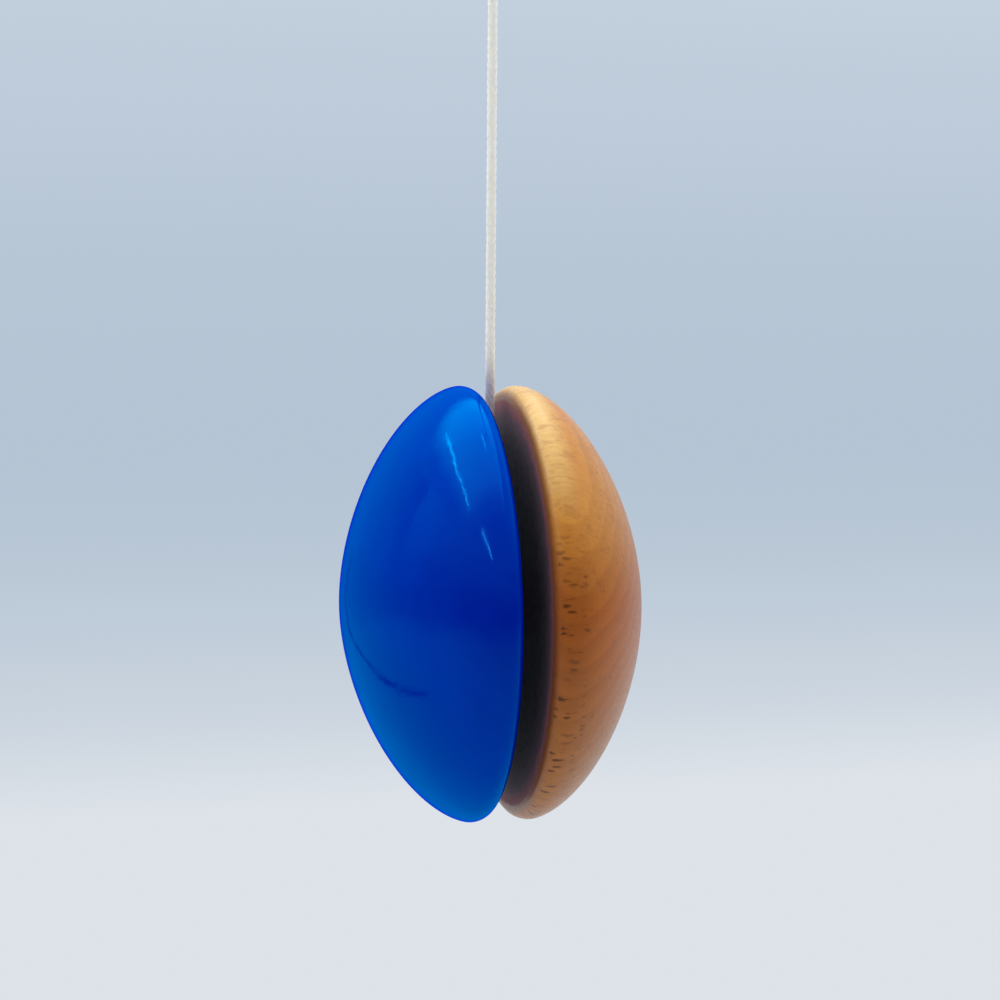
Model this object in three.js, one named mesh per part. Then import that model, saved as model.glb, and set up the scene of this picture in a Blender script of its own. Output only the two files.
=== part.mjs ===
import * as THREE from "three";

// A wooden yo-yo hanging at the end of its string. Millimetres, +Z up, +X along the axle from the
// painted half to the natural half. The origin is the inside top of the finger loop, where the string
// hangs from a finger.

// Turned halves
const RADIUS = 28.5;
const HALF_WIDTH = 19.6;
const HALF_GAP = 1.9;
const RIM_ROUND_AXIAL = 2;
const RIM_ROUND_RADIAL = 1.5;
const CROWN_AXIAL_POWER = 1.6;
const CROWN_RADIAL_POWER = 1.75;

// Dowel axle, glued into a blind bore in each half
const AXLE_RADIUS = 4;
const AXLE_LENGTH = 26;
const AXLE_CHAMFER = 0.5;
const GLUE_GAP = 0.3;

// Twisted cotton string, doubled from the axle up: each ply of it is thinner
const STRING_RADIUS = 0.65;
const PLY_RADIUS = 0.5;
const STRING_GAP = 0.3;

// Heights of the pieces below the finger
const AXLE_Z = -118;
const KNOT_Z = -33.5;
const KNOT_RADIUS = 1.8;

// Loop round the finger, and loop round the axle
const FINGER_LOOP_REACH = 14.2;
const FINGER_LOOP_BLUNTNESS = 0.32;
const AXLE_LOOP_REACH = 6.8;
const AXLE_LOOP_BLUNTNESS = 0.35;
const AXLE_LOOP_SLACK = 0.35;
const AXLE_LOOP_TOP = 8.5;

// The straight run of string, from under the knot down to the top of the axle loop
const STRING_ROUTE = [
  [0, 0, -35.6],
  [0, 0, -40],
  [0, 0, -45],
  [0, 0, -50],
  [0, 0, -55],
  [0, 0, -60],
  [0, 0, -65],
  [0, 0, -70],
  [0, 0, -75],
  [0, 0, -80],
  [0, 0, -85],
  [0, 0, -90],
  [0, 0, -95],
  [0, 0, -100],
  [0, 0, -105],
  [0, 0, -108.7],
];

// Fineness of the round surfaces
const LATHE_SEGMENTS = 72;
const CROWN_STEPS = 16;
const ROUND_STEPS = 4;
const DOWEL_SEGMENTS = 32;
const KNOT_SEGMENTS = 20;
const KNOT_STEPS = 10;
const LOOP_STEPS = 40;
const CORD_SIDES = 8;

const COLOURS = {
  bluePaint: 0x0b46b4,
  naturalWood: 0xcf9a5c,
  dowelWood: 0xdcb888,
  cotton: 0xe8e2d4,
};

function material(color, roughness) {
  return new THREE.MeshStandardMaterial({ color, roughness, metalness: 0 });
}

function mesh(name, geometry, finish) {
  const piece = new THREE.Mesh(geometry, finish);
  piece.name = name;
  return piece;
}

// Half of a turned body: domed crown, rounded rim, flat inner face and blind bore. The outline runs
// from the crown's pole round to the bottom of the bore, with y measured from the middle of the gap.
function halfOutline() {
  const crownFoot = HALF_GAP + RIM_ROUND_AXIAL;
  const crownHeight = HALF_WIDTH - crownFoot;
  const boreRadius = AXLE_RADIUS + GLUE_GAP;
  const boreEnd = AXLE_LENGTH / 2 + GLUE_GAP;
  const outline = [new THREE.Vector2(0, HALF_WIDTH)];
  for (let step = CROWN_STEPS - 1; step >= 0; step -= 1) {
    const angle = (step / CROWN_STEPS) * (Math.PI / 2);
    const radius = RADIUS * Math.cos(angle) ** (2 / CROWN_RADIAL_POWER);
    const height = crownHeight * Math.sin(angle) ** (2 / CROWN_AXIAL_POWER);
    outline.push(new THREE.Vector2(radius, crownFoot + height));
  }
  for (let step = 1; step <= ROUND_STEPS; step += 1) {
    const angle = (step / ROUND_STEPS) * (Math.PI / 2);
    const radius = RADIUS - RIM_ROUND_RADIAL * (1 - Math.cos(angle));
    outline.push(new THREE.Vector2(radius, crownFoot - RIM_ROUND_AXIAL * Math.sin(angle)));
  }
  outline.push(new THREE.Vector2(boreRadius, HALF_GAP));
  outline.push(new THREE.Vector2(boreRadius, boreEnd));
  outline.push(new THREE.Vector2(0, boreEnd));
  return outline;
}

// side is 1 for the half on +X and -1 for the half on -X
function turnedHalf(side) {
  const geometry = new THREE.LatheGeometry(halfOutline().reverse(), LATHE_SEGMENTS);
  geometry.rotateZ((-side * Math.PI) / 2);
  return geometry;
}

function axleGeometry() {
  const end = AXLE_LENGTH / 2;
  const outline = [
    new THREE.Vector2(0, -end),
    new THREE.Vector2(AXLE_RADIUS - AXLE_CHAMFER, -end),
    new THREE.Vector2(AXLE_RADIUS, AXLE_CHAMFER - end),
    new THREE.Vector2(AXLE_RADIUS, end - AXLE_CHAMFER),
    new THREE.Vector2(AXLE_RADIUS - AXLE_CHAMFER, end),
    new THREE.Vector2(0, end),
  ];
  const geometry = new THREE.LatheGeometry(outline, DOWEL_SEGMENTS);
  geometry.rotateZ(Math.PI / 2);
  return geometry;
}

// An egg-shaped loop: angle 0 is at its broad end and angle PI at its narrow end. It gives the
// distance across and the distance from the broad end along its length.
function eggPoint(angle, length, reach, bluntness) {
  const narrowing = bluntness + (1 - bluntness) * Math.cos(angle / 2) ** 2;
  return [reach * Math.sin(angle) * narrowing, (length * (1 - Math.cos(angle))) / 2];
}

// A closed tube along a flat loop. pointAt(angle) gives its centre line and across is the direction
// square to the loop's plane.
function loopTube(pointAt, across, radius) {
  const positions = [];
  const faces = [];
  for (let step = 0; step < LOOP_STEPS; step += 1) {
    const angle = (step / LOOP_STEPS) * 2 * Math.PI;
    const centre = pointAt(angle);
    const along = pointAt(angle + 0.01).sub(pointAt(angle - 0.01)).normalize();
    const outward = new THREE.Vector3().crossVectors(along, across);
    for (let side = 0; side < CORD_SIDES; side += 1) {
      const turn = (side / CORD_SIDES) * 2 * Math.PI;
      const corner = centre.clone();
      corner.addScaledVector(outward, radius * Math.cos(turn));
      corner.addScaledVector(across, radius * Math.sin(turn));
      positions.push(corner.x, corner.y, corner.z);
      const next = ((step + 1) % LOOP_STEPS) * CORD_SIDES;
      const here = step * CORD_SIDES;
      const sideOver = (side + 1) % CORD_SIDES;
      faces.push(here + side, next + side, next + sideOver);
      faces.push(here + side, next + sideOver, here + sideOver);
    }
  }
  const geometry = new THREE.BufferGeometry();
  geometry.setAttribute("position", new THREE.Float32BufferAttribute(positions, 3));
  geometry.setIndex(faces);
  geometry.computeVertexNormals();
  return geometry;
}

// The finger loop lies across the axle's direction, so a finger pointing along Y goes through it
function fingerLoopGeometry() {
  const top = STRING_RADIUS;
  const bottom = KNOT_Z + KNOT_RADIUS + STRING_GAP + STRING_RADIUS;
  const pointAt = (angle) => {
    const [across, down] = eggPoint(angle, top - bottom, FINGER_LOOP_REACH, FINGER_LOOP_BLUNTNESS);
    return new THREE.Vector3(across, 0, top - down);
  };
  return loopTube(pointAt, new THREE.Vector3(0, 1, 0), STRING_RADIUS);
}

// The axle loop lies in the middle of the gap, with its narrow end up
function axleLoopGeometry() {
  const bottom = -(AXLE_RADIUS + AXLE_LOOP_SLACK + PLY_RADIUS);
  const pointAt = (angle) => {
    const length = AXLE_LOOP_TOP - bottom;
    const [across, up] = eggPoint(angle, length, AXLE_LOOP_REACH, AXLE_LOOP_BLUNTNESS);
    return new THREE.Vector3(0, across, bottom + up);
  };
  return loopTube(pointAt, new THREE.Vector3(-1, 0, 0), PLY_RADIUS);
}

function slipKnotGeometry() {
  const outline = [];
  for (let step = 0; step <= KNOT_STEPS; step += 1) {
    const angle = (step / KNOT_STEPS) * Math.PI;
    const radius = step === 0 || step === KNOT_STEPS ? 0 : KNOT_RADIUS * Math.sin(angle);
    outline.push(new THREE.Vector2(radius, -KNOT_RADIUS * Math.cos(angle)));
  }
  const geometry = new THREE.LatheGeometry(outline, KNOT_SEGMENTS);
  geometry.rotateX(Math.PI / 2);
  return geometry;
}

function stringGeometry() {
  const section = new THREE.Shape();
  for (let side = 0; side < CORD_SIDES; side += 1) {
    const turn = (side / CORD_SIDES) * 2 * Math.PI;
    const corner = [STRING_RADIUS * Math.cos(turn), STRING_RADIUS * Math.sin(turn)];
    if (side === 0) section.moveTo(...corner);
    else section.lineTo(...corner);
  }
  section.closePath();
  const points = STRING_ROUTE.map((point) => new THREE.Vector3(...point));
  return new THREE.ExtrudeGeometry(section, {
    steps: points.length - 1,
    bevelEnabled: false,
    extrudePath: new THREE.CatmullRomCurve3(points),
  });
}

const yoYo = new THREE.Group();
yoYo.position.z = AXLE_Z;
yoYo.add(mesh("blue_half", turnedHalf(-1), material(COLOURS.bluePaint, 0.2)));
yoYo.add(mesh("natural_half", turnedHalf(1), material(COLOURS.naturalWood, 0.35)));
yoYo.add(mesh("axle", axleGeometry(), material(COLOURS.dowelWood, 0.6)));
yoYo.add(mesh("axle_loop", axleLoopGeometry(), material(COLOURS.cotton, 0.9)));

const slipKnot = mesh("slip_knot", slipKnotGeometry(), material(COLOURS.cotton, 0.9));
slipKnot.position.z = KNOT_Z;

const part = new THREE.Group();
part.add(yoYo);
part.add(mesh("string", stringGeometry(), material(COLOURS.cotton, 0.9)));
part.add(slipKnot);
part.add(mesh("finger_loop", fingerLoopGeometry(), material(COLOURS.cotton, 0.9)));

export default part;
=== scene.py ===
import math

import bpy
from mathutils import Matrix, Vector


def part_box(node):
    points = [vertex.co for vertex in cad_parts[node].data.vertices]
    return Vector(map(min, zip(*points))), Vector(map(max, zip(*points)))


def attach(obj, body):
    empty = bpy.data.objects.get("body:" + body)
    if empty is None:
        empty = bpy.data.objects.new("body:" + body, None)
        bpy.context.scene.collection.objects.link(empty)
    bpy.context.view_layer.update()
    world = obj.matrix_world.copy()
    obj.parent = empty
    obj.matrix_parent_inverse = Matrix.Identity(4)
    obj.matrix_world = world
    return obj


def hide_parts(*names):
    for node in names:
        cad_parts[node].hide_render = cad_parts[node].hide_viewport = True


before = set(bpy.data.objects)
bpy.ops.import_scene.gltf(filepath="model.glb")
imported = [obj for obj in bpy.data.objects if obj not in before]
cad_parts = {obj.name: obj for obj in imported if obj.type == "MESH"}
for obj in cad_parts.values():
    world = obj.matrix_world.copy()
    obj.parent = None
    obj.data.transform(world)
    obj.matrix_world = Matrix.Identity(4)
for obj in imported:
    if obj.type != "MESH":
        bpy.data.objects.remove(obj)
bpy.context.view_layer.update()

MM = 0.001

# Shapes, in millimetres, the same as the CAD's
RADIUS = 28.5
HALF_WIDTH = 19.6
HALF_GAP = 1.9
RIM_ROUND_AXIAL = 2.0
RIM_ROUND_RADIAL = 1.5
CROWN_AXIAL_POWER = 1.6
CROWN_RADIAL_POWER = 1.75
AXLE_RADIUS = 4.0
AXLE_LENGTH = 26.0
AXLE_CHAMFER = 0.5
GLUE_GAP = 0.3
STRING_RADIUS = 0.65
PLY_RADIUS = 0.5
STRING_GAP = 0.3
KNOT_RADIUS = 1.8
FINGER_LOOP_REACH = 14.2
FINGER_LOOP_BLUNTNESS = 0.32
AXLE_LOOP_REACH = 6.8
AXLE_LOOP_BLUNTNESS = 0.35
AXLE_LOOP_SLACK = 0.35
AXLE_LOOP_TOP = 8.5

AXLE_LOW, AXLE_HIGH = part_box("axle")
AXLE_Z = (AXLE_LOW.z + AXLE_HIGH.z) / 2 / MM
KNOT_LOW, KNOT_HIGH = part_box("slip_knot")
KNOT_Z = (KNOT_LOW.z + KNOT_HIGH.z) / 2 / MM

# The straight run of string, in metres, from the top of the axle loop up to the knot
STRING_ROUTE = [
    (0, 0, -0.1087),
    (0, 0, -0.105),
    (0, 0, -0.1),
    (0, 0, -0.095),
    (0, 0, -0.09),
    (0, 0, -0.085),
    (0, 0, -0.08),
    (0, 0, -0.075),
    (0, 0, -0.07),
    (0, 0, -0.065),
    (0, 0, -0.06),
    (0, 0, -0.055),
    (0, 0, -0.05),
    (0, 0, -0.045),
    (0, 0, -0.04),
    (0, 0, -0.0356),
]

# Camera: its direction from the yo-yo, its tilt, and where the yo-yo's centre sits beside its axis
CAMERA_AZIMUTH = math.radians(-13.2)
CAMERA_ELEVATION = math.radians(6.0)
CAMERA_ROLL = math.radians(0.45)
CAMERA_DISTANCE = 0.25
CAMERA_ACROSS = -0.00153
CAMERA_UP = -0.01347
CAMERA_LENS = 68.2


def make_camera():
    back = Vector((
        math.sin(CAMERA_AZIMUTH) * math.cos(CAMERA_ELEVATION),
        -math.cos(CAMERA_AZIMUTH) * math.cos(CAMERA_ELEVATION),
        math.sin(CAMERA_ELEVATION),
    ))
    level = (-back).cross(Vector((0, 0, 1))).normalized()
    upright = level.cross(-back)
    right = level * math.cos(CAMERA_ROLL) + upright * math.sin(CAMERA_ROLL)
    up = upright * math.cos(CAMERA_ROLL) - level * math.sin(CAMERA_ROLL)
    data = bpy.data.cameras.new("camera")
    data.lens = CAMERA_LENS
    data.sensor_width = 36
    data.clip_start = 0.01
    data.clip_end = 20
    camera = bpy.data.objects.new("camera", data)
    bpy.context.scene.collection.objects.link(camera)
    turn = Matrix((right, up, back)).transposed().to_4x4()
    centre = Vector((0, 0, AXLE_Z * MM))
    eye = centre - right * CAMERA_ACROSS - up * CAMERA_UP + back * CAMERA_DISTANCE
    camera.matrix_world = Matrix.Translation(eye) @ turn
    bpy.context.scene.camera = camera


make_camera()


# ---------------------------------------------------------------- meshes

# A twisted cord: how finely it is cut, and its relief as shares of its radius
RINGS_PER_TURN = 26
SIDES_PER_LOBE = 12
LOBE_FOOT = 0.75
LOBE_ROUNDNESS = 0.6
YARNS_PER_LOBE = 3
YARN_RELIEF = 0.012
UNEVENNESS = 0.02


def mesh_object(name, points, faces, loops=None):
    """A smooth mesh piece. points are in millimetres; loops gives each face corner's texture place."""
    data = bpy.data.meshes.new(name)
    data.from_pydata([Vector(p) * MM for p in points], [], faces)
    data.validate()
    data.shade_smooth()
    if loops:
        layer = data.uv_layers.new(name="along_and_around")
        for corner, place in enumerate(loops):
            layer.data[corner].uv = place
    made = bpy.data.objects.new(name, data)
    bpy.context.scene.collection.objects.link(made)
    return made


def join(name, parts):
    """Several lists of points, faces and face-corner places as one piece."""
    points, faces, places = [], [], []
    for part_points, part_faces, part_places in parts:
        start = len(points)
        points += part_points
        faces += [tuple(i + start for i in face) for face in part_faces]
        places += part_places
    return mesh_object(name, points, faces, places)


def twisted(line_at, frame_at, length, closed, radius, lobes, pitch, start_turn):
    """A twisted cord as one tube: its section has a lobe for each ply and finer ridges for the yarns."""
    turns = length / pitch
    if closed:
        # a whole number of turns, so that the ends of a loop meet
        turns = round(turns)
    count = int(turns * RINGS_PER_TURN)
    sides = SIDES_PER_LOBE * lobes
    points, faces, places = [], [], []
    for step in range(count):
        share = step / count if closed else step / (count - 1)
        centre = line_at(share)
        out, across = frame_at(share)
        slow = math.sin(2 * math.pi * 4 * share + 2 * start_turn)
        uneven = math.sin(2 * math.pi * 9 * share + start_turn) * slow
        for side in range(sides):
            turn = side / sides * 2 * math.pi
            wound = turn + 2 * math.pi * turns * share
            lobe = abs(math.cos(lobes * wound / 2 + start_turn)) ** LOBE_ROUNDNESS
            yarn = math.cos(lobes * YARNS_PER_LOBE * turn - 2 * math.pi * round(turns) * 2 * share)
            relief = LOBE_FOOT + (1 - LOBE_FOOT) * lobe + YARN_RELIEF * yarn
            relief += UNEVENNESS * (uneven - 1)
            reach = radius * relief
            points.append(centre + out * reach * math.cos(turn) + across * reach * math.sin(turn))
    for step in range(count if closed else count - 1):
        here = step * sides
        there = (step + 1) % count * sides
        low, high = step / count * length, (step + 1) / count * length
        for side in range(sides):
            over = (side + 1) % sides
            faces.append((here + side, here + over, there + over, there + side))
            start, end = side / sides, (side + 1) / sides
            places += [(low, start), (low, end), (high, end), (high, start)]
    if not closed:
        for start in (0, (count - 1) * sides):
            ring = [start + side for side in range(sides)]
            faces.append(tuple(ring if start else reversed(ring)))
            places += [(0.0, 0.0)] * sides
    return [(points, faces, places)]


def egg_point(angle, length, reach, bluntness):
    """Distance across and along an egg-shaped loop; angle 0 is at its broad end."""
    narrowing = bluntness + (1 - bluntness) * math.cos(angle / 2) ** 2
    return reach * math.sin(angle) * narrowing, length * (1 - math.cos(angle)) / 2


def egg_line(length, reach, bluntness, place):
    """A loop's line and its frame, as functions of the share of the way round."""
    def line_at(share):
        return place(*egg_point(share * 2 * math.pi, length, reach, bluntness))

    def frame_at(share):
        along = (line_at(share + 0.001) - line_at(share - 0.001)).normalized()
        flat = (place(1, 0) - place(0, 0)).cross(place(0, 1) - place(0, 0)).normalized()
        return along.cross(flat), flat

    return line_at, frame_at


def line_length(line_at, steps=400):
    spots = [line_at(i / steps) for i in range(steps + 1)]
    return sum((b - a).length for a, b in zip(spots, spots[1:]))


# The string is two plies, doubled and twisted on itself, so it has four lobes; the axle loop is undoubled
STRING_LOBES = 4
STRING_PITCH = 4.4
AXLE_LOOP_LOBES = 2
AXLE_LOOP_PITCH = 3.2
# The cord pieces reach this far into the gaps left for the joints, so that they meet
REACH = 0.25


def upright_line(low, high):
    """A straight line up the Z axis and its frame, as functions of the share of the way up."""
    def line_at(share):
        return Vector((0, 0, low + (high - low) * share))

    def frame_at(share):
        return Vector((1, 0, 0)), Vector((0, 1, 0))

    return line_at, frame_at


def string_piece():
    low, high = STRING_ROUTE[0][2] / MM - REACH, STRING_ROUTE[-1][2] / MM + REACH
    line_at, frame_at = upright_line(low, high)
    return join("string_run", twisted(
        line_at, frame_at, high - low, False, STRING_RADIUS, STRING_LOBES, STRING_PITCH, 0.3))


def finger_loop_piece():
    top = STRING_RADIUS
    bottom = KNOT_Z + KNOT_RADIUS + STRING_GAP + STRING_RADIUS - REACH
    line_at, frame_at = egg_line(
        top - bottom, FINGER_LOOP_REACH, FINGER_LOOP_BLUNTNESS,
        lambda across, down: Vector((across, 0, top - down)),
    )
    return join("finger_loop_cord", twisted(
        line_at, frame_at, line_length(line_at), True, STRING_RADIUS, STRING_LOBES, STRING_PITCH, 1.1))


def axle_loop_piece():
    bottom = -(AXLE_RADIUS + AXLE_LOOP_SLACK + PLY_RADIUS)
    line_at, frame_at = egg_line(
        AXLE_LOOP_TOP - bottom, AXLE_LOOP_REACH, AXLE_LOOP_BLUNTNESS,
        lambda across, up: Vector((0, across, AXLE_Z + bottom + up)),
    )
    return join("axle_loop_cord", twisted(
        line_at, frame_at, line_length(line_at), True, PLY_RADIUS, AXLE_LOOP_LOBES, AXLE_LOOP_PITCH, 2.2))


# The knot: two turns of a thinner cord that weave in and out three times, round a straight core
KNOT_TURN_RADIUS = 0.95
KNOT_WEAVE = 0.42
KNOT_HEIGHT = 0.95
KNOT_CORE = 1.72
KNOT_CORE_THINNING = 0.95
KNOT_CORD_RADIUS = 0.52
KNOT_PITCH = 3.0


def knot_piece():
    """A tight knot, with the string going into its bottom and out of its top."""
    def line_at(share):
        round_ = 4 * math.pi * share
        weave = 6 * math.pi * share
        out = KNOT_TURN_RADIUS + KNOT_WEAVE * math.cos(weave)
        height = KNOT_Z + KNOT_HEIGHT * math.sin(weave)
        return Vector((out * math.cos(round_), out * math.sin(round_), height))

    def frame_at(share):
        along = (line_at(share + 0.001) - line_at(share - 0.001)).normalized()
        inward = Vector((0, 0, KNOT_Z)) - line_at(share)
        across = along.cross(inward).normalized()
        return across.cross(along), across

    length = line_length(line_at)
    wraps = twisted(line_at, frame_at, length, True, KNOT_CORD_RADIUS, STRING_LOBES, KNOT_PITCH, 0.7)
    core_at, core_frame = upright_line(KNOT_Z - KNOT_CORE, KNOT_Z + KNOT_CORE)
    core_radius = STRING_RADIUS * KNOT_CORE_THINNING
    core = twisted(core_at, core_frame, 2 * KNOT_CORE, False, core_radius, STRING_LOBES, STRING_PITCH, 0.3)
    return join("slip_knot_cord", wraps + core)


def turned(name, outline, segments):
    """A shape turned about the axle: outline is a list of (place along X, radius)."""
    points, faces = [], []
    rings = []
    for along, radius in outline:
        if radius < 1e-6:
            rings.append([len(points)])
            points.append((along, 0, AXLE_Z))
            continue
        rings.append(list(range(len(points), len(points) + segments)))
        for side in range(segments):
            turn = side / segments * 2 * math.pi
            points.append((along, radius * math.sin(turn), AXLE_Z + radius * math.cos(turn)))
    for first, second in zip(rings, rings[1:]):
        for side in range(segments):
            over = (side + 1) % segments
            if len(first) == 1:
                faces.append((first[0], second[over], second[side]))
            elif len(second) == 1:
                faces.append((first[side], first[over], second[0]))
            else:
                faces.append((first[side], first[over], second[over], second[side]))
    return mesh_object(name, points, faces)


# Fineness of the turned shapes, the softened edge of the bore, and the small cuts off sharp corners
CROWN_STEPS = 90
ROUND_STEPS = 16
FACE_STEPS = 24
HALF_SEGMENTS = 240
AXLE_STEPS = 40
AXLE_SEGMENTS = 96
BORE_LIP = 0.25
BORE_LIP_ROUND = 0.3
CORNER = 0.02
CHAMFER_CORNER = 0.05
# Where the string has worn the dowel: how deep, and how far along it from the middle
WEAR_DEPTH = 0.06
WEAR_REACH = 0.9


def half_outline():
    """Crown, rounded rim, flat inner face and blind bore, as (place along X, radius)."""
    foot = HALF_GAP + RIM_ROUND_AXIAL
    crown = HALF_WIDTH - foot
    bore = AXLE_RADIUS + GLUE_GAP
    bore_end = AXLE_LENGTH / 2 + GLUE_GAP
    line = [(HALF_WIDTH, 0.0)]
    for step in range(CROWN_STEPS - 1, -1, -1):
        angle = step / CROWN_STEPS * math.pi / 2
        radius = RADIUS * math.cos(angle) ** (2 / CROWN_RADIAL_POWER)
        line.append((foot + crown * math.sin(angle) ** (2 / CROWN_AXIAL_POWER), radius))
    for step in range(1, ROUND_STEPS + 1):
        angle = step / ROUND_STEPS * math.pi / 2
        radius = RADIUS - RIM_ROUND_RADIAL * (1 - math.cos(angle))
        line.append((foot - RIM_ROUND_AXIAL * math.sin(angle), radius))
    flat_edge = RADIUS - RIM_ROUND_RADIAL
    for step in range(1, FACE_STEPS + 1):
        line.append((HALF_GAP, flat_edge + (bore + BORE_LIP - flat_edge) * step / FACE_STEPS))
    line.append((HALF_GAP + BORE_LIP * BORE_LIP_ROUND, bore + BORE_LIP * BORE_LIP_ROUND))
    line.append((HALF_GAP + BORE_LIP, bore))
    line.append((bore_end - CORNER, bore))
    line.append((bore_end, bore - CORNER))
    line.append((bore_end, 0.0))
    return line


def half_piece(name, side):
    """side is 1 for the half on +X and -1 for the half on -X."""
    outline = [(side * along, radius) for along, radius in half_outline()]
    if side > 0:
        outline.reverse()
    return turned(name, outline, HALF_SEGMENTS)


def axle_piece():
    """The dowel: chamfered ends, and a little worn in the middle by the string."""
    end = AXLE_LENGTH / 2
    chamfer = AXLE_CHAMFER
    end_radius = AXLE_RADIUS - chamfer
    outline = [(-end, 0.0), (-end, end_radius - CHAMFER_CORNER), (-end + CORNER, end_radius)]
    outline += [(-end + chamfer, AXLE_RADIUS - CORNER), (-end + chamfer + CHAMFER_CORNER, AXLE_RADIUS)]
    for step in range(1, AXLE_STEPS):
        along = -end + AXLE_LENGTH * step / AXLE_STEPS
        worn = WEAR_DEPTH * math.exp(-(along / WEAR_REACH) ** 2)
        outline.append((along, AXLE_RADIUS - worn))
    outline += [(end - chamfer - CHAMFER_CORNER, AXLE_RADIUS), (end - chamfer, AXLE_RADIUS - CORNER)]
    outline += [(end - CORNER, end_radius), (end, end_radius - CHAMFER_CORNER), (end, 0.0)]
    return turned("axle_dowel", outline, AXLE_SEGMENTS)


# ---------------------------------------------------------------- pieces

string = string_piece()
knot = knot_piece()
finger_loop = finger_loop_piece()
axle_loop = axle_loop_piece()
blue_half = half_piece("blue_half_turned", -1)
natural_half = half_piece("natural_half_turned", 1)
axle = axle_piece()

for piece, body, node, finish in (
    (string, "string", "string", "cotton_string"),
    (knot, "slip_knot", "slip_knot", "cotton_string"),
    (finger_loop, "finger_loop", "finger_loop", "cotton_string"),
    (axle_loop, "axle_loop", "axle_loop", "cotton_string"),
    (blue_half, "yo_yo", "blue_half", "blue_paint"),
    (natural_half, "yo_yo", "natural_half", "natural_wood"),
    (axle, "yo_yo", "axle", "dowel_wood"),
):
    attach(piece, body)
    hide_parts(node)


# ---------------------------------------------------------------- materials

def add(tree, kind, props=None, inputs=None):
    """A shader node, its settings, and what its sockets are given: a value or another node's output."""
    made = tree.nodes.new(kind)
    for key, value in (props or {}).items():
        setattr(made, key, value)
    for key, value in (inputs or {}).items():
        if isinstance(value, bpy.types.NodeSocket):
            tree.links.new(value, made.inputs[key])
        else:
            made.inputs[key].default_value = value
    return made


def calc(tree, operation, a, b=0.0, clamp=False):
    made = add(tree, "ShaderNodeMath", {"operation": operation, "use_clamp": clamp}, {0: a, 1: b})
    return made.outputs[0]


def span(tree, value, low, high, to_low=0.0, to_high=1.0):
    """value smoothly taken from the range low..high to the range to_low..to_high."""
    made = add(
        tree, "ShaderNodeMapRange", {"interpolation_type": "SMOOTHSTEP"},
        {"Value": value, "From Min": low, "From Max": high, "To Min": to_low, "To Max": to_high},
    )
    return made.outputs["Result"]


def mixed(tree, share, first, second, blend="MIX"):
    made = add(tree, "ShaderNodeMix", {"data_type": "RGBA", "blend_type": blend})
    for index, value in ((0, share), (6, first), (7, second)):
        if isinstance(value, bpy.types.NodeSocket):
            tree.links.new(value, made.inputs[index])
        elif index == 0:
            made.inputs[index].default_value = value
        else:
            made.inputs[index].default_value = (*value, 1)
    return made.outputs[2]


def noise(tree, place, scale, detail=3.0, rough=0.55, distortion=0.0):
    made = add(
        tree, "ShaderNodeTexNoise", None,
        {"Vector": place, "Scale": scale, "Detail": detail, "Roughness": rough, "Distortion": distortion},
    )
    return made.outputs["Fac"]


def stretched(tree, place, scale):
    made = add(tree, "ShaderNodeVectorMath", {"operation": "MULTIPLY"}, {0: place})
    made.inputs[1].default_value = scale
    return made.outputs[0]


def bump(tree, height, distance, strength=1.0, under=None):
    """distance is the height of the relief in metres."""
    made = add(tree, "ShaderNodeBump", None, {"Strength": strength, "Distance": distance, "Height": height})
    if under is not None:
        tree.links.new(under, made.inputs["Normal"])
    return made.outputs["Normal"]


def empty_material(name):
    material = bpy.data.materials.new(name)
    material.use_nodes = True
    material.node_tree.nodes.clear()
    return material, material.node_tree


def new_material(name):
    """A material with a plain Principled shader, its tree and that shader."""
    material, tree = empty_material(name)
    shader = tree.nodes.new("ShaderNodeBsdfPrincipled")
    out = tree.nodes.new("ShaderNodeOutputMaterial")
    tree.links.new(shader.outputs[0], out.inputs["Surface"])
    return material, tree, shader


def place_in_mm(tree):
    """The point on the piece, in millimetres from the middle of the axle."""
    where = add(tree, "ShaderNodeTexCoord").outputs["Object"]
    shifted = add(tree, "ShaderNodeVectorMath", {"operation": "SUBTRACT"}, {0: where})
    shifted.inputs[1].default_value = (0, 0, AXLE_Z * MM)
    scaled = add(tree, "ShaderNodeVectorMath", {"operation": "SCALE"}, {0: shifted.outputs[0]})
    scaled.inputs["Scale"].default_value = 1000
    return scaled.outputs[0]


def parts_of(tree, place):
    """The X, Y and Z of a point, or the red, green and blue of a colour."""
    split = add(tree, "ShaderNodeSeparateXYZ", None, {0: place})
    return split.outputs[0], split.outputs[1], split.outputs[2]


def distance_from_line(tree, y, z, centre_y=0.0, centre_z=0.0):
    """Distance from a line parallel to the axle."""
    dy = calc(tree, "SUBTRACT", y, centre_y)
    dz = calc(tree, "SUBTRACT", z, centre_z)
    squares = calc(tree, "ADD", calc(tree, "MULTIPLY", dy, dy), calc(tree, "MULTIPLY", dz, dz))
    return calc(tree, "SQRT", squares)


def about_zero(tree, share, width):
    """A share from 0 to 1 as a wandering amount about zero, width wide."""
    return calc(tree, "MULTIPLY", calc(tree, "SUBTRACT", share, 0.5), width)


def stain_tone_with_gap_light(tree, place, radius):
    """The brown-black stain of the inner faces, with painted light: paler and a dull rose towards the rim,
    where light gets into the gap.
    """
    grain = noise(tree, stretched(tree, place, (0.3, 0.9, 0.9)), 1.0, 4.0, 0.65)
    deep = mixed(tree, span(tree, grain, 0.35, 0.7), (0.065, 0.056, 0.075), (0.105, 0.088, 0.115))
    # painted light: by this wandering radius the stain is darker deeper in the gap, and paler and rose
    # towards the rim
    worn = calc(tree, "ADD", radius, about_zero(tree, grain, 3.0))
    lit_towards_rim = mixed(tree, span(tree, worn, 19.5, 25.0), deep, (0.16, 0.10, 0.13))
    return mixed(tree, span(tree, worn, 24.3, 26.6), lit_towards_rim, (0.38, 0.12, 0.14))


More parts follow.
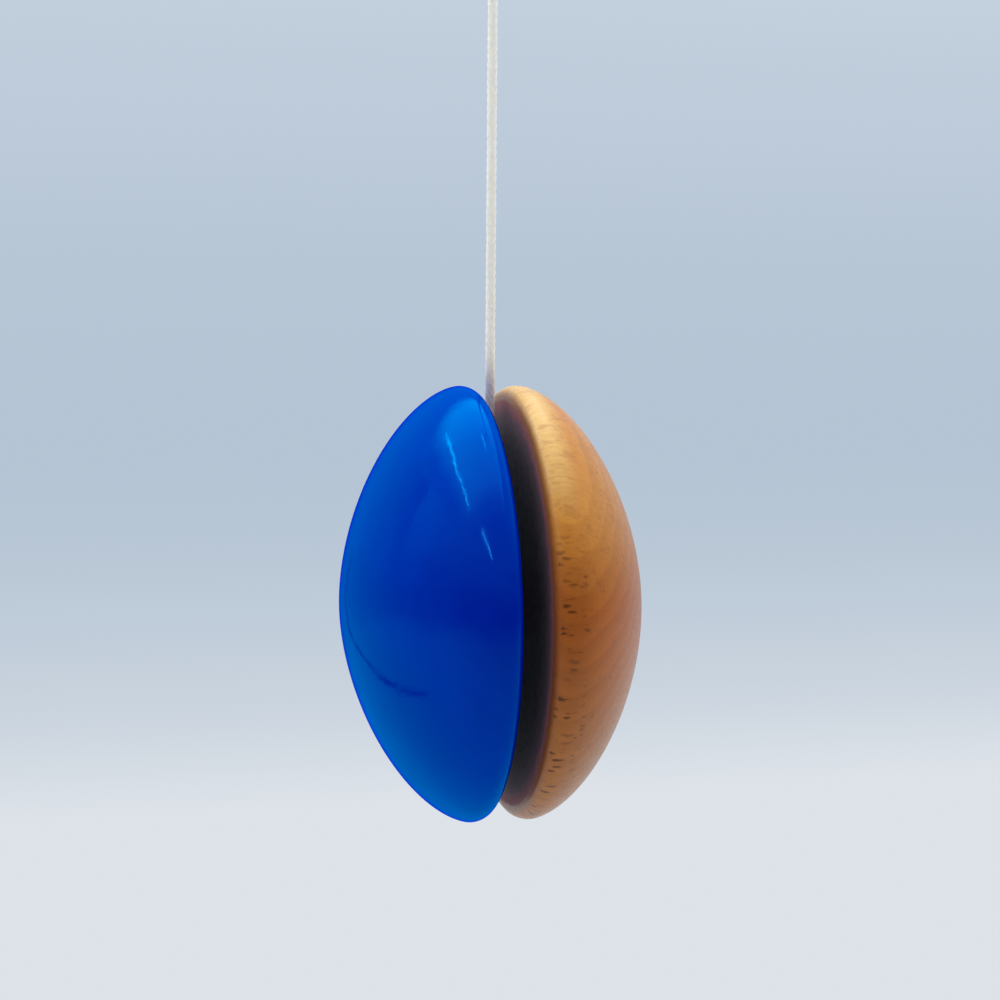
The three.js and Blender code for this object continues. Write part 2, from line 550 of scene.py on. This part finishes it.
def blue_paint():
    material, tree, shader = new_material("blue_paint")
    place = place_in_mm(tree)
    x, y, z = parts_of(tree, place)
    radius = distance_from_line(tree, y, z)
    thickness = noise(tree, place, 0.09, 4.0, 0.6)
    grain = noise(tree, stretched(tree, place, (0.12, 1.6, 1.6)), 1.0, 3.0, 0.6)
    colour = mixed(tree, span(tree, thickness, 0.3, 0.7), (0.0, 0.014, 0.41), (0.001, 0.02, 0.46))
    colour = mixed(tree, span(tree, grain, 0.58, 0.8, 0, 0.12), colour, (0.0, 0.012, 0.22))
    # the inner face is stained dark, and the blue is darker and ragged where it ends on the lip: painted
    # shade where the lip turns into the gap
    ragged = about_zero(tree, noise(tree, place, 0.55, 4.0, 0.7), 0.8)
    edge_place = calc(tree, "ADD", radius, ragged)
    near_face = span(tree, x, -3.1, -2.3)
    blue_lip_shade = calc(tree, "MULTIPLY", span(tree, edge_place, 27.9, 27.0), near_face)
    colour = mixed(tree, calc(tree, "MULTIPLY", blue_lip_shade, 0.6), colour, (0.002, 0.008, 0.11))
    stain = calc(tree, "MULTIPLY", span(tree, edge_place, 27.2, 26.8), near_face)
    colour = mixed(tree, stain, colour, stain_tone_with_gap_light(tree, place, radius))
    tree.links.new(colour, shader.inputs["Base Color"])
    scuffs = noise(tree, stretched(tree, place, (0.5, 0.16, 0.16)), 1.0, 5.0, 0.7)
    gloss = span(tree, scuffs, 0.35, 0.8, 0.06, 0.22)
    rough = calc(tree, "ADD", calc(tree, "MULTIPLY", stain, 0.6), gloss)
    tree.links.new(rough, shader.inputs["Roughness"])
    peel = bump(tree, noise(tree, place, 0.5, 2.0, 0.5), 0.00004, 0.5)
    waves = bump(tree, noise(tree, place, 0.16, 2.0, 0.5), 0.00015, 0.5, peel)
    relief = bump(tree, grain, 0.00001, 0.5, waves)
    tree.links.new(relief, shader.inputs["Normal"])
    shader.inputs["IOR"].default_value = 1.6
    shader.inputs["Specular Tint"].default_value = (1.0, 0.55, 1.0, 1)
    # a deep blue lacquer over the whole half: all that shines up from under it comes out bluer
    shader.inputs["Coat Weight"].default_value = 1.0
    shader.inputs["Coat IOR"].default_value = 1.0
    shader.inputs["Coat Tint"].default_value = (0.02, 0.84, 1.0, 1)
    return material


def ray_dashes(tree, place, shift, length, width, share_kept):
    """Short dark rays lying along the grain: some cells of a stretched cell pattern, bent and ragged."""
    bend = add(tree, "ShaderNodeTexNoise", None, {"Vector": place, "Scale": 0.35, "Detail": 3.0})
    bent = add(tree, "ShaderNodeVectorMath", {"operation": "ADD"}, {0: place, 1: bend.outputs["Color"]})
    shifted = add(tree, "ShaderNodeVectorMath", {"operation": "ADD"}, {0: bent.outputs[0], 1: shift})
    cells = add(
        tree, "ShaderNodeTexVoronoi", {"voronoi_dimensions": "3D", "feature": "F1"},
        {"Vector": stretched(tree, shifted.outputs[0], (1 / length, 1 / width, 1 / width)), "Scale": 1.0,
         "Randomness": 0.9},
    )
    torn = noise(tree, stretched(tree, place, (1.3, 5.0, 5.0)), 1.0, 3.0, 0.7)
    away = calc(tree, "ADD", cells.outputs["Distance"], about_zero(tree, torn, 0.7))
    lot = parts_of(tree, cells.outputs["Color"])[0]
    chosen = span(tree, lot, share_kept, share_kept * 0.2)
    return calc(tree, "MULTIPLY", chosen, span(tree, away, 0.42, 0.16))


# The tree's own middle, well below and behind the axle, and the rings round it, in millimetres
PITH_Y = 30.0
PITH_Z = -52.0
RING_SPACING = 2.3
# The fine ridges left by the turning tool
TURNING_PITCH = 0.45


def growth_rings(tree, place, y, z):
    """How far each place is into its ring's late wood, and the slow wander of the rings."""
    wander = noise(tree, stretched(tree, place, (0.02, 0.05, 0.05)), 1.0, 3.0, 0.55)
    from_pith = distance_from_line(tree, y, z, PITH_Y, PITH_Z)
    ring_place = calc(tree, "ADD", from_pith, calc(tree, "MULTIPLY", wander, 7.0))
    wave = calc(tree, "FRACT", calc(tree, "DIVIDE", ring_place, RING_SPACING))
    ring = calc(tree, "MULTIPLY", span(tree, wave, 0.0, 0.85), span(tree, wave, 1.0, 0.9))
    return ring, wander


def wood_tone_and_painted_light(tree, x, height, ring):
    """The wood's tone with painted light: redder and darker across the middle as painted shade, paler above
    and below it, and palest on top of the rim as a painted highlight.
    """
    near_rim = span(tree, x, 8.0, 4.5)
    # painted shade across the middle and painted light above and below it; the ring tones are the wood's
    # own
    middle = mixed(tree, ring, (0.50, 0.128, 0.011), (0.44, 0.106, 0.009))
    upper_painted_light = mixed(tree, ring, (0.65, 0.265, 0.035), (0.59, 0.23, 0.028))
    lower_painted_light = mixed(tree, ring, (0.48, 0.165, 0.036), (0.43, 0.145, 0.029))
    # painted highlight: palest on top near the rim, where the overhead panel shines
    painted_highlight_on_top = calc(tree, "MULTIPLY", span(tree, x, 7.0, 4.0), span(tree, height, 13.0, 24.0))
    upper_painted_light = mixed(tree, painted_highlight_on_top, upper_painted_light, (0.73, 0.46, 0.15))
    colour = mixed(tree, span(tree, height, 1.0, 17.0), middle, upper_painted_light)
    colour = mixed(tree, span(tree, height, -2.0, -19.0), colour, lower_painted_light)
    # painted shade: darker near the rim at mid-height, where it faces the dim front
    core = calc(tree, "MULTIPLY", near_rim, span(tree, calc(tree, "ABSOLUTE", height), 15.0, 3.0))
    return mixed(tree, calc(tree, "MULTIPLY", core, 0.5), colour, (0.33, 0.08, 0.012))


def wood_rays(tree, place, x, height, mottle):
    """Dark dashes near the rim, where the side of the grain is cut, and fainter flecks in patches."""
    side_grain = calc(tree, "MULTIPLY", span(tree, x, 6.8, 5.0), span(tree, height, 14.0, 7.0))
    dashes = calc(tree, "MULTIPLY", ray_dashes(tree, place, (0.3, 0.1, 0.7), 3.2, 0.75, 0.95), side_grain)
    patch = calc(tree, "MULTIPLY", span(tree, mottle, 0.42, 0.56), span(tree, x, 13.5, 8.0))
    patch = calc(tree, "MULTIPLY", patch, span(tree, height, 19.0, 9.0))
    flecks = calc(tree, "MULTIPLY", ray_dashes(tree, place, (5.3, 2.1, 3.7), 2.2, 0.7, 0.7), patch)
    return dashes, flecks


def stained_face_with_gap_shade(tree, place, x, radius, mottle, colour):
    """The colour with the inner face's dark stain, and a soft darker brown on the lip where it turns into
    the gap, as painted shade.
    """
    ragged = about_zero(tree, mottle, 0.5)
    # painted shade: darker brown where the rim turns into the gap between the halves
    wood_lip_shade = span(tree, calc(tree, "ADD", x, ragged), 2.6, 1.8)
    colour = mixed(tree, calc(tree, "MULTIPLY", wood_lip_shade, 0.8), colour, (0.28, 0.085, 0.028))
    edge_place = calc(tree, "ADD", radius, ragged)
    stain = calc(tree, "MULTIPLY", span(tree, edge_place, 26.9, 26.3), span(tree, x, 3.1, 2.3))
    return mixed(tree, stain, colour, stain_tone_with_gap_light(tree, place, radius)), stain


def natural_wood():
    material, tree, shader = new_material("natural_wood")
    place = place_in_mm(tree)
    x, y, z = parts_of(tree, place)
    radius = distance_from_line(tree, y, z)
    ring, wander = growth_rings(tree, place, y, z)
    height = calc(tree, "ADD", z, about_zero(tree, wander, 12.0))
    colour = wood_tone_and_painted_light(tree, x, height, ring)
    fibre = noise(tree, stretched(tree, place, (0.07, 1.8, 1.8)), 1.0, 4.0, 0.65)
    colour = mixed(tree, span(tree, fibre, 0.42, 0.72, 0, 0.3), colour, (0.36, 0.115, 0.02))
    mottle = noise(tree, stretched(tree, place, (0.3, 0.55, 0.55)), 1.0, 4.0, 0.7)
    colour = mixed(tree, span(tree, mottle, 0.5, 0.7, 0, 0.4), colour, (0.34, 0.095, 0.02))
    dashes, flecks = wood_rays(tree, place, x, height, mottle)
    colour = mixed(tree, calc(tree, "MULTIPLY", dashes, 0.95), colour, (0.10, 0.022, 0.003))
    colour = mixed(tree, calc(tree, "MULTIPLY", flecks, 0.55), colour, (0.24, 0.065, 0.011))
    colour, stain = stained_face_with_gap_shade(tree, place, x, radius, mottle, colour)
    tree.links.new(colour, shader.inputs["Base Color"])
    rough = calc(tree, "ADD", span(tree, fibre, 0.3, 0.8, 0.27, 0.4), calc(tree, "MULTIPLY", stain, 0.3))
    tree.links.new(rough, shader.inputs["Roughness"])
    turning = calc(tree, "SINE", calc(tree, "MULTIPLY", radius, 2 * math.pi / TURNING_PITCH))
    relief = bump(tree, turning, 0.0000015, 0.5)
    relief = bump(tree, fibre, 0.00002, 0.5, relief)
    relief = bump(tree, calc(tree, "ADD", dashes, flecks), -0.00001, 0.6, relief)
    tree.links.new(relief, shader.inputs["Normal"])
    shader.inputs["IOR"].default_value = 1.45
    # an amber varnish: what it mirrors face on comes out warm, and white only at a low angle
    shader.inputs["Specular Tint"].default_value = (1.0, 0.9, 0.62, 1)
    return material


def dowel_wood():
    material, tree, shader = new_material("dowel_wood")
    place = place_in_mm(tree)
    x = parts_of(tree, place)[0]
    fibre = noise(tree, stretched(tree, place, (0.12, 3.0, 3.0)), 1.0, 4.0, 0.65)
    colour = mixed(tree, span(tree, fibre, 0.3, 0.75), (0.66, 0.47, 0.25), (0.46, 0.29, 0.13))
    dashes = ray_dashes(tree, place, (1.3, 4.1, 2.7), 1.4, 0.3, 0.1)
    colour = mixed(tree, calc(tree, "MULTIPLY", dashes, 0.6), colour, (0.2, 0.1, 0.04))
    # where the string rubs it the wood is dark and polished
    rub_wear_and_shade = span(tree, calc(tree, "ABSOLUTE", x), 1.7, 0.5)
    colour = mixed(tree, calc(tree, "MULTIPLY", rub_wear_and_shade, 0.6), colour, (0.2, 0.12, 0.06))
    tree.links.new(colour, shader.inputs["Base Color"])
    tree.links.new(span(tree, rub_wear_and_shade, 0, 1, 0.62, 0.35), shader.inputs["Roughness"])
    tree.links.new(bump(tree, fibre, 0.00004, 0.6), shader.inputs["Normal"])
    return material


def cotton():
    material, tree, shader = new_material("cotton_string")
    place = place_in_mm(tree)
    spun = add(tree, "ShaderNodeTexCoord").outputs["UV"]
    fibre = noise(tree, stretched(tree, spun, (1.6, 22.0, 1.0)), 1.0, 4.0, 0.7, 0.6)
    dirt = noise(tree, stretched(tree, place, (0.5, 0.5, 0.09)), 1.0, 3.0, 0.6)
    colour = mixed(tree, span(tree, fibre, 0.3, 0.7), (0.90, 0.92, 0.78), (0.96, 0.97, 0.86))
    colour = mixed(tree, span(tree, dirt, 0.5, 0.8, 0, 0.3), colour, (0.92, 0.87, 0.70))
    # greyer and bluer near the halves: painted shade on the string where it comes down to them
    rub_wear_and_shade = calc(tree, "ADD", parts_of(tree, place)[2], about_zero(tree, dirt, 6.0))
    colour = mixed(tree, span(tree, rub_wear_and_shade, 34.5, 27.5, 0, 0.8), colour, (0.42, 0.41, 0.55))
    tree.links.new(colour, shader.inputs["Base Color"])
    tree.links.new(bump(tree, fibre, 0.00002, 0.7), shader.inputs["Normal"])
    shader.inputs["Roughness"].default_value = 0.9
    shader.inputs["Specular IOR Level"].default_value = 0.2
    shader.inputs["Subsurface Weight"].default_value = 1.0
    shader.inputs["Subsurface Radius"].default_value = (1.0, 0.9, 0.75)
    shader.inputs["Subsurface Scale"].default_value = 0.002
    shader.inputs["Sheen Weight"].default_value = 0.15
    shader.inputs["Sheen Roughness"].default_value = 0.4
    return material


def give(material, *objects):
    for obj in objects:
        obj.data.materials.clear()
        obj.data.materials.append(material)


give(blue_paint(), blue_half)
give(natural_wood(), natural_half)
give(dowel_wood(), axle)
give(cotton(), string, knot, finger_loop, axle_loop)


# ---------------------------------------------------------------- stage and lights, in metres

# The sweep: a floor, a cove behind it and a wall
FLOOR_Z = -0.45
FLOOR_FRONT = -1.2
FLOOR_BACK = 1.3
COVE_RADIUS = 0.3
COVE_STEPS = 24
WALL_TOP = 1.6
STAGE_HALF_WIDTH = 3.0
# A dark strip on the sweep, a painted shadow line that shows only in the gloss: its start, its place and
# half width along X, and its height off the floor
STRIP_START = 0.15
STRIP_X = -0.6
STRIP_HALF_WIDTH = 0.016
STRIP_LIFT = 0.002
# The room's own light, by direction
ROOM_FRONT = (0.13, 0.135, 0.15)
ROOM_BACK = (0.40, 0.42, 0.46)
ROOM_BELOW = (0.46, 0.48, 0.51)
CEILING_FRONT = (0.45, 0.46, 0.48)
CEILING_BACK = (1.0, 1.02, 1.05)
ROOM_SEEN = (0.58, 0.66, 0.76)
# The lights overhead. The panel's places are in units of the lights' height above the axle
LIGHT_HEIGHT = 0.45
PANEL_BACK = 1.35
PANEL_RIGHT = 1.3
PANEL_SHOWN_TO = 0.5
PANEL_LEFT_BACK = -1.4
PANEL_LEFT_FRONT = (-1.95, -0.5)
PANEL_SHOWN_FRONT = -0.77
PANEL_RIGHT_FRONT = -0.85
PANEL_COLOUR = (1.0, 0.99, 0.97)
PANEL_GLOW = 3.0
PANEL_GLOW_FRONT = PANEL_GLOW * 0.64
PANEL_GLOW_BACK = PANEL_GLOW * 0.96
CEILING_LEVEL = 0.8
TUBE_HALF_WIDTH = 0.006
TUBE_DROP = 0.004


def sheet_along_x(name, line, half_width, middle=0.0):
    """A sheet made by moving a line in the YZ plane along X."""
    points = []
    for y, z in line:
        points += [Vector((middle - half_width, y, z)), Vector((middle + half_width, y, z))]
    faces = [(2 * i, 2 * i + 1, 2 * i + 3, 2 * i + 2) for i in range(len(line) - 1)]
    data = bpy.data.meshes.new(name)
    data.from_pydata(points, [], faces)
    data.shade_smooth()
    made = bpy.data.objects.new(name, data)
    bpy.context.scene.collection.objects.link(made)
    return made


def glow_material(name, colour, strength):
    material, tree = empty_material(name)
    glow = add(tree, "ShaderNodeEmission", None, {"Color": (*colour, 1), "Strength": strength})
    add(tree, "ShaderNodeOutputMaterial", None, {"Surface": glow.outputs[0]})
    return material


# How far up the sweep, as height plus half the distance back, it is fully white and fully blue
SWEEP_WHITE = 0.11
SWEEP_BLUE = 0.56


def backdrop_material():
    """The sweep's own brightness by place: white floor, pale blue wall a little lighter towards its top."""
    material, tree = empty_material("backdrop")
    where = add(tree, "ShaderNodeTexCoord").outputs["Object"]
    x, y, z = parts_of(tree, where)
    up_wall = span(tree, z, -0.2, 0.55)
    wall = mixed(tree, up_wall, (0.462, 0.553, 0.658), (0.60, 0.68, 0.78))
    along = calc(tree, "ADD", z, calc(tree, "MULTIPLY", y, 0.5))
    share = calc(tree, "DIVIDE", calc(tree, "SUBTRACT", SWEEP_BLUE, along), SWEEP_BLUE - SWEEP_WHITE, True)
    colour = mixed(tree, calc(tree, "POWER", share, 1.6), wall, (0.725, 0.765, 0.812))
    # the floor is less lit towards the front, and the wall towards its sides
    colour = mixed(tree, span(tree, y, -0.2, FLOOR_FRONT), colour, ROOM_BELOW)
    sideways = span(tree, calc(tree, "ABSOLUTE", x), 1.2, STAGE_HALF_WIDTH, 0, 0.8)
    colour = mixed(tree, sideways, colour, ROOM_BACK)
    glow = add(tree, "ShaderNodeEmission", None, {"Color": colour, "Strength": 1.0})
    add(tree, "ShaderNodeOutputMaterial", None, {"Surface": glow.outputs[0]})
    return material


def sweep_line(offset=0.0):
    """The curve from the floor up to the wall, as a line in the YZ plane, moved inwards by offset."""
    line = [(FLOOR_BACK, FLOOR_Z + offset)]
    radius = COVE_RADIUS - offset
    for step in range(1, COVE_STEPS + 1):
        angle = step / COVE_STEPS * math.pi / 2
        back = FLOOR_BACK + radius * math.sin(angle)
        line.append((back, FLOOR_Z + COVE_RADIUS - radius * math.cos(angle)))
    return line


def make_backdrop():
    wall_y = FLOOR_BACK + COVE_RADIUS
    line = [(FLOOR_FRONT, FLOOR_Z), *sweep_line(), (wall_y, WALL_TOP)]
    give(backdrop_material(), sheet_along_x("backdrop", line, STAGE_HALF_WIDTH))


def make_floor_strip():
    """A dark strip along the floor and up the curve, beside the view and hidden from the camera: a painted
    shadow line that shows only in the gloss.
    """
    line = [(STRIP_START, FLOOR_Z + STRIP_LIFT), *sweep_line(STRIP_LIFT)]
    strip = sheet_along_x("floor_strip", line, STRIP_HALF_WIDTH, STRIP_X)
    strip.visible_camera = False
    give(glow_material("floor_strip", (0.02, 0.03, 0.05), 1.0), strip)


def stage_sheet(name, corners, colour, strength):
    """A flat glowing sheet that lights the object and doesn't show to the camera."""
    data = bpy.data.meshes.new(name)
    data.from_pydata([Vector(c) for c in corners], [], [tuple(range(len(corners)))])
    made = bpy.data.objects.new(name, data)
    bpy.context.scene.collection.objects.link(made)
    made.visible_camera = False
    give(glow_material(name, colour, strength), made)
    return made


def overhead(x, y):
    """A place at the height of the overhead lights, given in units of their height above the axle."""
    return x * LIGHT_HEIGHT, y * LIGHT_HEIGHT, AXLE_Z * MM + LIGHT_HEIGHT


def panel_glow(panel):
    """Brighter towards its back, and fading to the ceiling's own level at its edges."""
    tree = panel.data.materials[0].node_tree
    x, y, _ = parts_of(tree, add(tree, "ShaderNodeTexCoord").outputs["Object"])
    across = calc(tree, "DIVIDE", x, LIGHT_HEIGHT)
    back = calc(tree, "DIVIDE", y, LIGHT_HEIGHT)
    from_left = calc(tree, "ADD", across, calc(tree, "MULTIPLY", calc(tree, "SUBTRACT", 1.05, back), 0.34))
    from_front = calc(tree, "ADD", back, calc(tree, "MULTIPLY", across, 0.125))
    inside = calc(tree, "MULTIPLY", span(tree, from_left, -1.1, -0.45), span(tree, back, 1.3, 0.9))
    inside = calc(tree, "MULTIPLY", inside, span(tree, from_front, -0.65, -0.3))
    full = span(tree, y, -0.25, 0.25, PANEL_GLOW_FRONT, PANEL_GLOW_BACK)
    gain = calc(tree, "MULTIPLY", calc(tree, "SUBTRACT", full, CEILING_LEVEL), inside)
    tree.links.new(calc(tree, "ADD", gain, CEILING_LEVEL), tree.nodes["Emission"].inputs["Strength"])


def make_panel():
    """The overhead panel. Its right part lights the object but doesn't show in any gloss."""
    edge_back = (PANEL_SHOWN_TO, PANEL_BACK)
    edge_front = (PANEL_SHOWN_TO, PANEL_SHOWN_FRONT)
    shown = ((PANEL_LEFT_BACK, PANEL_BACK), edge_back, edge_front, PANEL_LEFT_FRONT)
    hidden = (edge_back, (PANEL_RIGHT, PANEL_BACK), (PANEL_RIGHT, PANEL_RIGHT_FRONT), edge_front)
    panel_glow(stage_sheet("panel", [overhead(*c) for c in shown], PANEL_COLOUR, PANEL_GLOW))
    fill = stage_sheet("panel_side", [overhead(*c) for c in hidden], PANEL_COLOUR, PANEL_GLOW)
    fill.visible_glossy = False
    panel_glow(fill)


def make_tube(name, start, end, glow):
    """A thin very bright strip overhead, from one place to another."""
    drop = Vector((0, 0, -TUBE_DROP))
    first, last = Vector(overhead(*start)) + drop, Vector(overhead(*end)) + drop
    across = (last - first).cross(Vector((0, 0, 1))).normalized() * TUBE_HALF_WIDTH
    corners = (first - across, first + across, last + across, last - across)
    stage_sheet(name, corners, (1, 1, 1), glow)


def make_world():
    """The room round the stage: a light ceiling, a pale back and a dim front.

    The camera sees a plain pale tone instead.
    """
    world = bpy.data.worlds.new("world")
    bpy.context.scene.world = world
    world.use_nodes = True
    tree = world.node_tree
    tree.nodes.clear()
    towards = add(tree, "ShaderNodeTexCoord").outputs["Generated"]
    _, y, z = parts_of(tree, towards)
    back = span(tree, y, -0.95, 0.6)
    level = mixed(tree, back, ROOM_FRONT, ROOM_BACK)
    ceiling = mixed(tree, back, CEILING_FRONT, CEILING_BACK)
    level = mixed(tree, span(tree, z, 0.0, -0.3), level, ROOM_BELOW)
    room_light = mixed(tree, span(tree, z, 0.0, 0.5), level, ceiling)
    path = add(tree, "ShaderNodeLightPath")
    room = add(tree, "ShaderNodeBackground", None, {"Color": room_light, "Strength": 1.0})
    seen = add(tree, "ShaderNodeBackground", None, {"Color": (*ROOM_SEEN, 1), "Strength": 1.0})
    both = add(
        tree, "ShaderNodeMixShader", None,
        {0: path.outputs["Is Camera Ray"], 1: room.outputs[0], 2: seen.outputs[0]},
    )
    add(tree, "ShaderNodeOutputWorld", None, {"Surface": both.outputs[0]})


make_backdrop()
make_floor_strip()
make_panel()
make_tube("tube_back", (-0.71, 0.80), (-1.13, -0.25), 16.0)
make_tube("tube_front", (-1.05, -0.73), (-1.17, -1.47), 27.0)
make_tube("tube_middle", (-0.14, 0.21), (-0.14, 0.04), 8.0)
make_world()
bpy.context.scene.view_settings.view_transform = "Standard"
